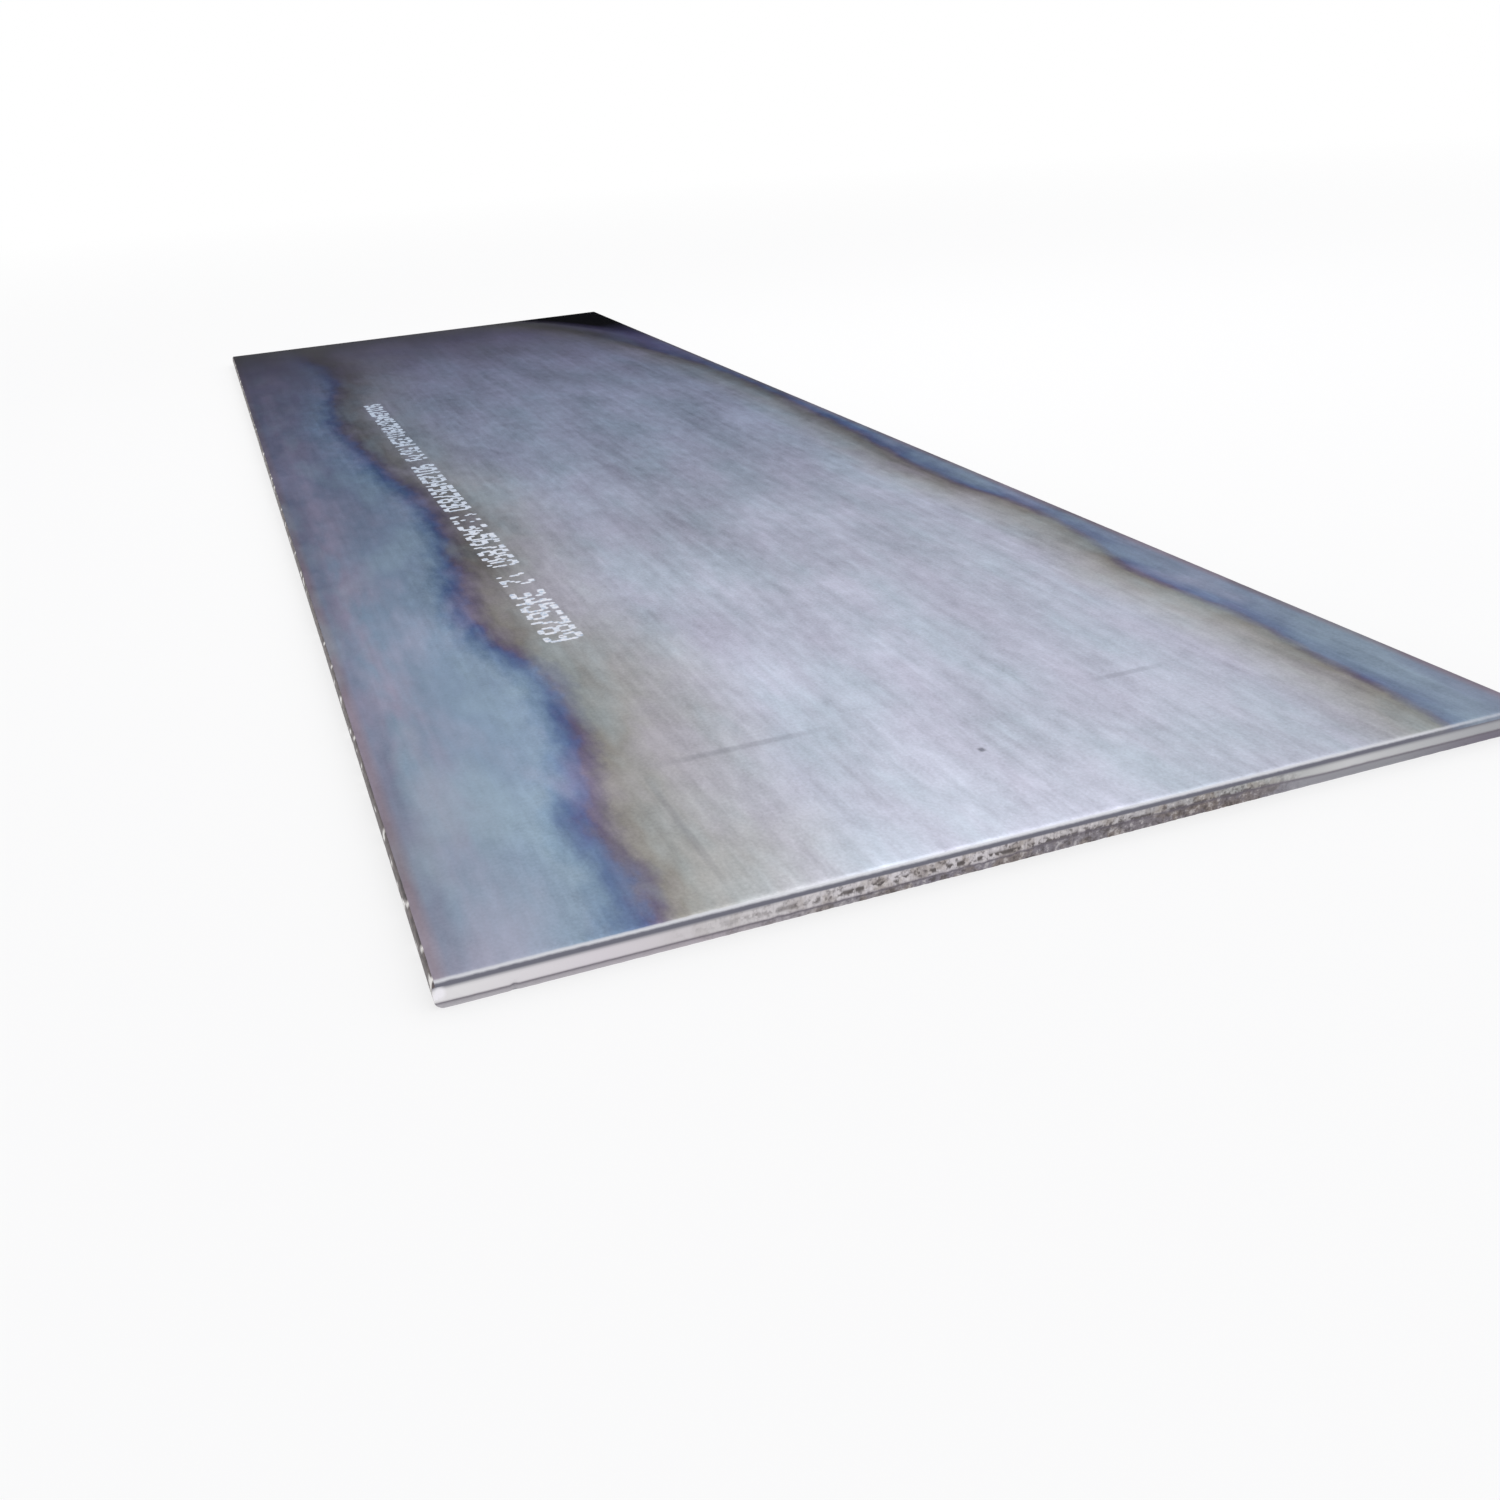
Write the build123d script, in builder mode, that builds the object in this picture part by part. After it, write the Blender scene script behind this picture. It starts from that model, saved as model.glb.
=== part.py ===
"""Hot-rolled steel plate, sheared to length, as it lies on a level floor.

The plate is one rolled piece. X runs across the rolling direction, Y along it and Z up.
The origin is at the middle of the underside, and all sizes are in millimetres.
"""

import os

from build123d import *

# The plate as it is sold
plate_length = 5000.0
plate_width = 1500.0
plate_thickness = 35.0

# Sheared end, from the face where the blade went in to the face where it came out
rollover_run = 12.0      # length of face that the blade drew down
rollover_drop = 6.0      # how far down it is drawn at the cut
land_height = 16.5       # upright zone that the flank of the blade burnished
crack_depth = 1.2        # step back, where the steel began to tear
crack_height = 1.2
tear_slant = 2.0         # how much further the torn zone leans back
tear_hollow = 0.5        # how deep the torn zone is hollowed
burr_height = 1.6        # lip that the tear left where the blade came out
burr_reach = 1.4

# Mill edge, barrelled and rounded by the edging rolls and left as rolled
edge_bulge = 3.0
edge_top_radius = 6.0
edge_bottom_radius = 11.0

middle_height = plate_thickness / 2


def sheared_end(cut):
    """Draw a sheared end's profile, from the rollover's start down to the burr.

    The plate lies on the positive side of the cut. Returns the burr's tip.
    """
    land_top = plate_thickness - rollover_drop
    land_foot = land_top - land_height
    crack = (cut + crack_depth, land_foot - crack_height)
    tear_foot = (crack[0] + tear_slant, burr_height)
    burr_tip = (tear_foot[0] - burr_reach, 0)
    EllipticalCenterArc(
        (cut + rollover_run, land_top), rollover_run, rollover_drop, start_angle=90, arc_size=90
    )
    Polyline((cut, land_top), (cut, land_foot), crack)
    SagittaArc(crack, tear_foot, tear_hollow)
    Line(tear_foot, burr_tip)
    return burr_tip


with BuildPart() as steel_plate:
    # Cross-section with its two mill edges, run along the whole length
    with BuildSketch(Plane.XZ) as cross_section:
        edge_foot = plate_width / 2 - edge_bulge
        with BuildLine():
            Line((0, plate_thickness), (edge_foot, plate_thickness))
            ThreePointArc(
                (edge_foot, plate_thickness), (plate_width / 2, middle_height), (edge_foot, 0)
            )
            Line((edge_foot, 0), (0, 0))
            mirror(about=Plane.YZ)
        make_face()
        fillet(cross_section.vertices().group_by(Axis.Y)[-1], edge_top_radius)
        fillet(cross_section.vertices().group_by(Axis.Y)[0], edge_bottom_radius)
    extrude(amount=plate_length / 2, both=True)

    # Side view with the two cuts. The far end was on the other side of the blade,
    # so its profile is that of the near end given a half turn.
    with BuildSketch(Plane.YZ):
        with BuildLine() as side_view:
            burr_tip = sheared_end(-plate_length / 2)
            half_turn = Axis((0, middle_height, 0), (0, 0, 1))
            add(side_view.line.rotate(half_turn, 180))
            rollover_start = rollover_run - plate_length / 2
            Line((rollover_start, plate_thickness), (-burr_tip[0], plate_thickness))
            Line((-rollover_start, 0), burr_tip)
        make_face()
    extrude(amount=plate_width, both=True, mode=Mode.INTERSECT)

steel_plate.part.label = "steel_plate"

os.makedirs("parts", exist_ok=True)
export_step(steel_plate.part, "parts/steel_plate.step")
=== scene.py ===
"""Finish of a hot-rolled steel plate: its mill scale, its sheared ends and its marking.

X runs across the rolling direction, Y along it and Z up, in metres. The near end is at -Y.
"""

import math
import random

import bmesh
import bpy
from mathutils import Matrix, Vector, noise


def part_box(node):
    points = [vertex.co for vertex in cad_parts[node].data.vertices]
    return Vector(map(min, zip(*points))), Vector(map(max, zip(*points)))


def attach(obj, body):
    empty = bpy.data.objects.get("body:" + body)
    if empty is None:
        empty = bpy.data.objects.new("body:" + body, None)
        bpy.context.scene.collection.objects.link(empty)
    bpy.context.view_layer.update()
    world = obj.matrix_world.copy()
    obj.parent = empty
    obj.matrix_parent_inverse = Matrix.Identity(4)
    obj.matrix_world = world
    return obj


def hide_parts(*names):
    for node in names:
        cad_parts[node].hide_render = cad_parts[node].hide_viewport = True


bl_info = {
    "name": "Steel Plate",
    "version": (1, 0, 0),
    "blender": (4, 5, 0),
    "location": "3D View > Sidebar > Steel Plate",
    "description": "Builds a hot-rolled steel plate with sheared ends on a pale floor",
    "category": "Add Mesh",
}

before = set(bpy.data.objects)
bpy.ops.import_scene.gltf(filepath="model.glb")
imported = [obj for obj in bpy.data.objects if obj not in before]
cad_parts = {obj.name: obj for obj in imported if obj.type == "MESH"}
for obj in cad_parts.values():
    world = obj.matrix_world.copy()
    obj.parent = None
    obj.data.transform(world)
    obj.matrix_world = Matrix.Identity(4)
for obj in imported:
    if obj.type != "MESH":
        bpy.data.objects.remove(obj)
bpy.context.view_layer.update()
PLATE_LOW, PLATE_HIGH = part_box("steel_plate")
HALF_WIDTH = PLATE_HIGH.x
HALF_LENGTH = PLATE_HIGH.y
THICKNESS = PLATE_HIGH.z
MM = 0.001


def size(name, default_mm, description):
    """A length property with a default in millimetres."""
    return bpy.props.FloatProperty(
        name=name, description=description, default=default_mm * MM, unit="LENGTH", precision=4
    )


def linear(hex_colour):
    """Linear colour, with alpha, of an sRGB value such as #9AA0A6."""
    parts = [int(hex_colour[i:i + 2], 16) / 255 for i in (1, 3, 5)]
    return tuple(p / 12.92 if p <= 0.04045 else ((p + 0.055) / 1.055) ** 2.4 for p in parts) + (1.0,)


def tint(name, hex_colour, description):
    """A colour property with an sRGB default."""
    return bpy.props.FloatVectorProperty(
        name=name, description=description, default=linear(hex_colour)[:3], subtype="COLOR"
    )


def lerp(a, b, share):
    """The value that lies a share of the way from one to another."""
    return a + (b - a) * share


def smooth(share):
    """A share from 0 to 1 eased at both ends."""
    share = min(max(share, 0.0), 1.0)
    return share * share * (3 - 2 * share)


def wander(x, y, z, seed=0.0):
    """Gentle noise from -1 to 1, with features about one unit across."""
    return noise.noise(Vector((x + seed * 17.3, y - seed * 9.1, z + seed * 5.7)))


class PlateSizes(bpy.types.PropertyGroup):
    rollover_run: size("Rollover run", 12.0, "Length of face that the blade drew down")
    rollover_drop: size("Rollover drop", 6.0, "How far down it is drawn at the cut")
    crack_depth: size("Crack depth", 1.2, "Step back where the steel began to tear")
    tear_slant: size("Tear slant", 2.0, "How much further the torn zone leans back")
    burr_height: size("Burr height", 1.6, "Lip where the blade came out")
    burr_reach: size("Burr reach", 1.4, "How far the lip stands out of the torn zone")
    edge_bulge: size("Edge bulge", 3.0, "Height of the mill edge's barrel")
    edge_top_radius: size("Upper edge radius", 6.0, "Radius of the mill edge at the upper face")
    edge_bottom_radius: size("Lower edge radius", 11.0, "Radius of the mill edge at the lower face")
    face_wave: size("Face wave", 0.35, "Depth of the gentle waves that rolling leaves in the face")
    tick_height: size("Tick height", 17.5, "Height of the row of torn ticks, from the lower face")
    tick_spread: size("Tick spread", 4.0, "How far the ticks reach above and below that")
    blade_joint: size("Blade joint", 935.0, "Place of the joint between two blades, from the left edge")


class ScaleFinish(bpy.types.PropertyGroup):
    centre: tint("Centre", "#C3C7D6", "Mill scale in the middle of the plate")
    straw: tint("Straw", "#96938E", "Thin straw and brown scale beside the tint line")
    late_straw: tint("Late straw", "#7B756F", "Browner scale that the straw turns further on")
    violet: tint("Violet", "#716A80", "Violet part of the tint line")
    blue: tint("Blue", "#64769B", "Deep blue part of the tint line")
    band: tint("Band", "#93A5BA", "Thin scale between the tint line and the mill edge")
    early_band: tint("Early band", "#AEB9CC", "Paler scale of the band beside the near end")
    mauve: tint("Mauve", "#A49BAE", "Patches of the left band that turned mauve")
    late_band: tint("Late band", "#867E93", "Mauve grey that the band turns towards the far end")
    right_band: tint("Right band", "#8E97AB", "Plainer grey of the band on the right")
    far_band: tint("Far band", "#726A98", "Violet that the right band turns at the far end")
    far_line: tint("Far line", "#2A2634", "Nearly black line that the right tint line becomes there")
    strip: tint("Strip", "#7C8095", "Darker strip of the band beside the mill edge")
    teal_cloud: tint("Teal clouds", "#AFC6CF", "Faint teal clouds all over the scale")
    mauve_cloud: tint("Mauve clouds", "#C5BCD0", "Faint mauve clouds between them")
    mark: tint("Marks", "#6A6C76", "Faint marks that rollers and handling left")
    # Painted dark reflection: the far right corner is painted nearly black
    corner: tint("Corner", "#0B0B12", "Thick black scale on the far right corner")
    shoulder: tint("Shoulder", "#92848B", "Brown scale on the shoulder of the mill edge")
    # Rim: painted highlight along the rollover, partly rubbed scale. Lip: painted shade below it, partly
    # cracked dark scale.
    rim_rub_and_highlight: tint("Rim", "#D4D5DB", "Face that the blade drew down and rubbed bright")
    lip: tint("Lip", "#70707B", "Cracked dark scale on the steep part of the rollover")


class EdgeFinish(bpy.types.PropertyGroup):
    hollow: tint("Hollows", "#3B3637", "Dark scale in the hollows of the mill edge")
    lump: tint("Lumps", "#746A6A", "Paler scale on its lumps")
    # Nicks: near white, partly bare steel and partly painted glints on the mill edge
    nick_glint: tint("Nicks", "#E4E1DE", "Bare steel where handling nicked it")


class CutFinish(bpy.types.PropertyGroup):
    # Lip: the dark band under the rollover, partly smeared scale and partly painted shade
    lip: tint("Lip", "#75757F", "Dark smear of scale that the blade dragged onto the top of the land")
    # Crack: painted shade of the step where the steel began to tear
    crack: tint("Crack", "#76707A", "Shadowed step where the steel began to tear")
    stain: tint("Stain", "#8E8276", "Brown stain where the cut is rough")
    bare: tint("Bare spots", "#E6E2E2", "Spots that are still bright where the cut is rough")
    pit: tint("Pits", "#5A5454", "Small torn pits and ticks")
    # Glint: a painted highlight on the near left corner
    glint: tint("Glint", "#F6F4FA", "Bright bruise at the corner")


class MarkingSizes(bpy.types.PropertyGroup):
    start: size("Start", 985.0, "First number's distance from the near end")
    offset: size("Offset", 388.0, "Middle of the row, from the left edge")
    height: size("Height", 65.0, "Height of a number")
    advance: size("Advance", 45.0, "Distance from one number to the next")
    drift: size("Drift", 20.0, "How far the row drifts towards the left edge by its far end")
    paint: tint("Paint", "#DADDE7", "White marking paint")
    thin_paint: tint("Thin paint", "#A6B5CA", "Paint where it is thin and the scale shows through")


class StageLevels(bpy.types.PropertyGroup):
    floor: tint("Floor", "#ECECEE", "Pale floor")
    lamp_power: bpy.props.FloatProperty(
        name="Lamp power", description="Power of the soft lamp overhead", default=25.0, unit="POWER"
    )
    lamp_size: size("Lamp size", 3000.0, "Side of the soft lamp")


# Mesh of the plate

# Cells of the coarse grid, and how finely the cut ends and mill edges divide them again
ACROSS_CELL = 25 * MM
ALONG_CELL = 50 * MM
CORNER_STEPS = 5
EDGE_CELLS = 3   # cells of the corner that are finished as the mill edge
ROLLOVER_STEPS = 6
END_COLUMNS = 9
EDGE_ROWS = 4
END_ZONE = 30 * MM
EDGE_ZONE = 14 * MM
FACE_MARGIN = 0.2 * MM   # keeps the painted marking inside the plate's own height
# Relief of the sheared ends
TEAR_RISE = 1.8 * MM            # height over which the tear reaches its full depth
SCORE_WIDTH = 3.2 * MM          # of a score that the blade dragged down the land
SCORE_HEIGHT = 30 * MM
LUMP_WIDTH = 6 * MM             # of a lump in the torn zone
LUMP_HEIGHT = 4 * MM
BURR_WAVE = 14 * MM             # distance between the burr's waves
CRACK_BAYS = 90 * MM            # width of the crack line's wide bays and of its short jags
CRACK_JAGS = 12 * MM
SHADE_BELOW = 1.5 * MM          # middle of the crack's shadow, from the crack down
SHADE_HALF = 3 * MM
SMOOTH_SMEAR_SHADE = 5.5 * MM         # how far the dark band, partly smeared scale and partly painted shade, runs down the land where the cut is smooth
ROUGH_SMEAR_SHADE = 1.2 * MM          # and where it is rough
TICK_WIDTH = 8 * MM             # of a tick where the blade picked the steel up
TICK_DEPTH = 0.8 * MM
BLADE_STEP = 0.35 * MM          # how much further in the second blade stands
BLADE_GAP = 5 * MM              # half the width of the gap between the blades
GAP_DEPTH = 0.8 * MM
NOTCH_PLACE = 88 * MM           # notch in the near end, from the left edge
NOTCH_HALF_WIDTH = 6 * MM
NOTCH_TOP = 16 * MM
NOTCH_DEPTH = 2.2 * MM
CORNER_GLINT_PLACE = 8 * MM           # painted highlight on the near left corner, from the left edge
CORNER_GLINT_HEIGHT = 21 * MM
CORNER_GLINT_RADIUS = 8 * MM
# Waves of the faces, across and along the plate
LONG_WAVE = (0.45, 0.8)
SHORT_WAVE = (0.16, 0.35)
# Bays and lumps of the mill edges, and the nicks that handling left in them
EDGE_BAY = 0.35
EDGE_LUMP_LENGTH = 38 * MM
EDGE_LUMP_HEIGHT = 14 * MM
NICK_LENGTH = 26 * MM
NICK_HEIGHT = 12 * MM
NICK_DEPTH = 0.4 * MM
# Point attributes that the materials read
MARKS = ("torn", "cracked", "ticked", "rolled_over", "nick_glints")
# Where the cut turns rough and smooth again, in metres from the left edge
ROUGH_FROM = (0.25, 0.52)
ROUGH_UNTIL = (1.02, 1.14)
# Heights of the levels of a sheared end, as shares of the height below its rollover
LEVEL_SHARES = (
    0, 0.055, 0.12, 0.18, 0.23, 0.27, 0.31, 0.36, 0.42, 0.48, 0.54, 0.60, 0.66, 0.74, 0.83, 0.92, 1
)
# Height where the steel began to tear, from the face where the blade came out, by distance from
# the left edge, in metres
CRACK_HEIGHTS = (
    (0.0, 0.009), (0.45, 0.009), (0.56, 0.0105), (0.66, 0.0115), (0.78, 0.0175), (1.04, 0.0175),
    (1.16, 0.0145), (1.5, 0.013),
)


class PlateShape:
    """Where each point of the plate's surface lies."""

    def __init__(self, sizes):
        self.sizes = sizes
        self.land_top = THICKNESS - sizes.rollover_drop
        half_chord = THICKNESS / 2
        self.barrel_radius = (half_chord ** 2 + sizes.edge_bulge ** 2) / (2 * sizes.edge_bulge)
        self.barrel_x = HALF_WIDTH - self.barrel_radius
        self.top_corner = self.corner(sizes.edge_top_radius)
        self.bottom_corner = self.corner(sizes.edge_bottom_radius)
        self.across_top = self.across_stations(self.top_corner)
        self.across_bottom = self.across_stations(self.bottom_corner)
        self.rolled = self.along_stations(sizes.rollover_run, 0.0)
        burr_tip = sizes.crack_depth + sizes.tear_slant - sizes.burr_reach
        self.burred = self.along_stations(0.0, burr_tip)

    def corner(self, radius):
        """Centre, radius and end angle of the round between a face and the barrel."""
        reach = self.barrel_radius - radius
        rise = THICKNESS / 2 - radius
        run = math.sqrt(reach ** 2 - rise ** 2)
        return self.barrel_x + run, radius, math.atan2(rise, run)

    def across_stations(self, corner):
        """Places across the plate where its face is divided, from left to right."""
        centre, radius, end_angle = corner
        steps = [end_angle + (math.pi / 2 - end_angle) * k / CORNER_STEPS for k in range(CORNER_STEPS)]
        left = [-(centre + radius * math.cos(a)) for a in steps]
        cells = round(2 * centre / ACROSS_CELL)
        middle = [lerp(-centre, centre, k / cells) for k in range(cells + 1)]
        return left + middle + [-x for x in reversed(left)]

    def along_stations(self, run, inset):
        """Distances from an end where the face is divided, as far as the plate's middle."""
        angles = [math.pi / 2 * k / ROLLOVER_STEPS for k in range(ROLLOVER_STEPS)]
        if run:
            start = [run * (1 - math.cos(a)) for a in angles]
        else:
            start = [lerp(inset, self.sizes.rollover_run, k / ROLLOVER_STEPS) for k in range(ROLLOVER_STEPS)]
        near = [self.sizes.rollover_run, 18 * MM, END_ZONE, 2 * END_ZONE]
        cells = round((HALF_LENGTH - near[-1]) / ALONG_CELL)
        return start + near + [lerp(near[-1], HALF_LENGTH, k / cells) for k in range(1, cells + 1)]

    def half_width(self, z):
        """Half the plate's width at this height, out to the mill edge."""
        for (centre, radius, end_angle), height in (
            (self.top_corner, z), (self.bottom_corner, THICKNESS - z)
        ):
            over = height - (THICKNESS - radius)
            if over > radius * math.sin(end_angle):
                return centre + math.sqrt(max(radius ** 2 - over ** 2, 0.0))
        return self.barrel_x + math.sqrt(self.barrel_radius ** 2 - (z - THICKNESS / 2) ** 2)

    def corner_drop(self, x, corner):
        """How far a face has fallen away at this place across the plate."""
        centre, radius, _ = corner
        over = min(max(abs(x) - centre, 0.0), radius)
        return radius - math.sqrt(radius ** 2 - over ** 2)

    def rollover_fall(self, inset):
        """How far the blade drew the face down at this distance from the cut."""
        run = self.sizes.rollover_run
        if inset >= run:
            return 0.0
        return self.sizes.rollover_drop * (1 - math.sqrt(1 - (1 - inset / run) ** 2))

    def crack_height(self, x, end):
        """Height where the steel began to tear, which wanders along the cut."""
        from_left = x + HALF_WIDTH
        height = CRACK_HEIGHTS[-1][1]
        for (start, low), (stop, high) in zip(CRACK_HEIGHTS, CRACK_HEIGHTS[1:]):
            if from_left < stop:
                height = lerp(low, high, max(from_left - start, 0.0) / (stop - start))
                break
        rough = self.roughness(x)
        bays = wander(x / CRACK_BAYS, 0, 0, end)
        jags = wander(x / CRACK_JAGS, 3, 0, end)
        return height + (bays + (0.3 + 1.2 * rough) * jags) * MM

    def cut_inset(self, x, height, end):
        """Distance of the cut's face from the plate's end, and its marks.

        The height is measured from the face where the blade came out. The end is 0 or 1.
        """
        sizes = self.sizes
        crack_height = self.crack_height(x, end)
        below = crack_height - height
        torn = smooth(below / TEAR_RISE)
        share = min(max(below / crack_height, 0.0), 1.0)
        inset = torn * sizes.crack_depth + share * sizes.tear_slant
        lip = smooth(1 - height / sizes.burr_height)
        inset -= lip * sizes.burr_reach * (0.75 + 0.4 * wander(x / BURR_WAVE, 7, 0, end))
        # Scores that the blade dragged down the land, and the tear's own roughness
        rough = self.roughness(x)
        score = abs(wander(x / SCORE_WIDTH, 0, height / SCORE_HEIGHT, end + 1))
        tear = abs(wander(x / LUMP_WIDTH, 0, height / LUMP_HEIGHT, end + 2))
        inset += (1 - torn) * (0.04 + 0.35 * rough) * MM * score + torn * (0.4 + 0.7 * rough) * MM * tear
        # Ticks in a row along the land, where the blade picked the steel up
        ticked = rough * smooth(1.3 - abs(height - sizes.tick_height) / sizes.tick_spread)
        slanted = x + 0.5 * height
        pit = smooth((wander(slanted / TICK_WIDTH, 5, height / TICK_WIDTH, end + 3) - 0.05) / 0.3)
        inset += TICK_DEPTH * pit * ticked
        # The second blade stands a little further in than the first, with a gap between them
        past_joint = x - (sizes.blade_joint - HALF_WIDTH)
        if past_joint > 0:
            inset += BLADE_STEP
        inset += GAP_DEPTH * smooth(1 - abs(past_joint) / BLADE_GAP)
        notch = 1 - abs(x + HALF_WIDTH - NOTCH_PLACE) / NOTCH_HALF_WIDTH
        if end == 0 and notch > 0:
            inset += NOTCH_DEPTH * smooth(notch) * smooth((NOTCH_TOP - height) / NOTCH_HALF_WIDTH)
        marks = {
            "torn": torn,
            "cracked": smooth(1.2 - abs(below - SHADE_BELOW) / SHADE_HALF),
            "ticked": ticked,
            # The dark band under the rollover, partly painted shade
            "rolled_over": max(1 - (self.land_top - height) / lerp(SMOOTH_SMEAR_SHADE, ROUGH_SMEAR_SHADE, rough), 0.0),
        }
        return max(inset, 0.0), marks

    def roughness(self, x):
        """How rough the cut is: smooth near both mill edges and rough between."""
        from_left = x + HALF_WIDTH
        coming = (from_left - ROUGH_FROM[0]) / (ROUGH_FROM[1] - ROUGH_FROM[0])
        going = (ROUGH_UNTIL[1] - from_left) / (ROUGH_UNTIL[1] - ROUGH_UNTIL[0])
        return smooth(coming) * smooth(going)

    def face_wave(self, x, y, side):
        """Gentle waves that rolling and levelling left in a face."""
        long_wave = wander(x / LONG_WAVE[0], y / LONG_WAVE[1], side)
        short_wave = wander(x / SHORT_WAVE[0], y / SHORT_WAVE[1], side + 4)
        return self.sizes.face_wave * (0.5 + 0.35 * long_wave + 0.15 * short_wave)

    def edge_wander(self, y, z, side):
        """How far the mill edge falls short of its true line."""
        bays = wander(side * 3, y / EDGE_BAY, 0)
        lumps = abs(wander(side * 3, y / EDGE_LUMP_LENGTH, z / EDGE_LUMP_HEIGHT))
        return (0.45 + 0.3 * bays + 0.5 * lumps) * MM

    def nick_glint(self, y, z, side):
        """How deep handling nicked the mill edge here, from 0 to 1. The right edge has fewer nicks. The same
        mask paints bright glints on them.
        """
        spots = wander(side * 5, y / NICK_LENGTH, z / NICK_HEIGHT, 6)
        fewer = 0.34 if side < 0 else 0.46
        return smooth((spots - fewer) / 0.12)

    def face_height(self, x, y):
        """Height of the upper face away from its edges."""
        return THICKNESS - FACE_MARGIN - self.face_wave(x, y, 0)

    def station(self, stations, place):
        """The value at a place between whole stations."""
        low = min(int(place), len(stations) - 2)
        return lerp(stations[low], stations[low + 1], place - low)

    def point(self, column, row, level, columns, rows, levels):
        """Place of the grid's point, and its marks: how each finish shows there, from 0 to 1."""
        marks = dict.fromkeys(MARKS, 0.0)
        near = row <= rows / 2
        from_end = row if near else rows - row
        share = self.station(LEVEL_SHARES, level)
        turned = 1 - self.station(LEVEL_SHARES, levels - level)
        share = lerp(share, turned, smooth(row / rows))
        top_stations, bottom_stations = (
            (self.rolled, self.burred) if near else (self.burred, self.rolled)
        )
        x_top = self.station(self.across_top, column)
        x_bottom = self.station(self.across_bottom, column)
        inset_top = self.station(top_stations, from_end)
        inset_bottom = self.station(bottom_stations, from_end)
        top_fall = self.corner_drop(x_top, self.top_corner)
        bottom_rise = self.corner_drop(x_bottom, self.bottom_corner)
        if near:
            top_fall = max(top_fall, self.rollover_fall(inset_top))
        else:
            bottom_rise = max(bottom_rise, self.rollover_fall(inset_bottom))
        z = lerp(bottom_rise, THICKNESS - top_fall, share)
        x = lerp(x_bottom, x_top, share)
        inset = lerp(inset_bottom, inset_top, share)
        if column in (0, columns):
            x = math.copysign(self.half_width(z), column - 1)
        drawn = level == levels if near else level == 0
        if drawn:
            marks["rolled_over"] = max(1 - inset / self.sizes.rollover_run, 0.0)
        if from_end == 0:
            height = z if near else THICKNESS - z
            inset, cut_marks = self.cut_inset(x, height, 0 if near else 1)
            marks.update(cut_marks)
        y = (HALF_LENGTH - inset) * (-1 if near else 1)
        beside = smooth(1 - (HALF_WIDTH - abs(x)) / EDGE_ZONE)
        side = math.copysign(1, x)
        # The nicks' mask also paints bright glints on them
        marks["nick_glints"] = self.nick_glint(y, z, side) * smooth(3 * beside - 1.5)
        # A painted highlight on the near left corner, dented like a nick
        if from_end == 0 and near:
            away = math.hypot(x + HALF_WIDTH - CORNER_GLINT_PLACE, 0.8 * (z - CORNER_GLINT_HEIGHT))
            marks["nick_glints"] = max(marks["nick_glints"], smooth(1.2 - away / CORNER_GLINT_RADIUS))
        x -= side * (beside * self.edge_wander(y, z, side) + NICK_DEPTH * marks["nick_glints"])
        if level == levels:
            z -= FACE_MARGIN + self.face_wave(x, y, 0)
        elif level == 0:
            z += 0.4 * self.face_wave(x, y, 9) * smooth((HALF_WIDTH - abs(x)) / 0.1)
        return Vector((x, y, max(z, 0.0))), marks


def grid_block(columns, rows, levels):
    """A closed block divided into cells, whose points sit at whole grid numbers."""
    bm = bmesh.new()
    bmesh.ops.create_grid(bm, x_segments=columns, y_segments=rows, size=0.5)
    bmesh.ops.transform(
        bm, verts=bm.verts, matrix=Matrix.Diagonal((columns, rows, 1, 1)) @ Matrix.Translation((0.5, 0.5, 0))
    )
    walls = bmesh.ops.extrude_face_region(bm, geom=bm.faces[:], use_keep_orig=True)
    raised = [v for v in walls["geom"] if isinstance(v, bmesh.types.BMVert)]
    bmesh.ops.translate(bm, verts=raised, vec=(0, 0, levels))
    uprights = [e for e in bm.edges if abs(e.verts[0].co.z - e.verts[1].co.z) > 0.5]
    bmesh.ops.subdivide_edges(bm, edges=uprights, cuts=levels - 1, use_grid_fill=True)
    return bm


def divide_zone(bm, axis, cuts, in_zone):
    """Divide the edges that run along an axis and lie in a zone."""
    other = [k for k in range(3) if k != axis]
    chosen = []
    for edge in bm.edges:
        a, b = (v.co for v in edge.verts)
        straight = all(abs(a[k] - b[k]) < 1e-3 for k in other)
        if straight and in_zone(a, b):
            chosen.append(edge)
    bmesh.ops.subdivide_edges(bm, edges=chosen, cuts=cuts, use_grid_fill=True)


def whole(value):
    """A grid number without the rounding that dividing edges leaves."""
    return round(value) if abs(value - round(value)) < 1e-3 else value


def finish_mesh(bm, name, sharp_angle=math.radians(38)):
    """Make an object at the origin from a bmesh, shaded smooth but for its sharp edges."""
    bmesh.ops.recalc_face_normals(bm, faces=bm.faces)
    for face in bm.faces:
        face.smooth = True
    for edge in bm.edges:
        edge.smooth = edge.calc_face_angle(0.0) < sharp_angle
    mesh = bpy.data.meshes.new(name)
    bm.to_mesh(mesh)
    bm.free()
    piece = bpy.data.objects.new(name, mesh)
    bpy.context.scene.collection.objects.link(piece)
    return piece


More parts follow.
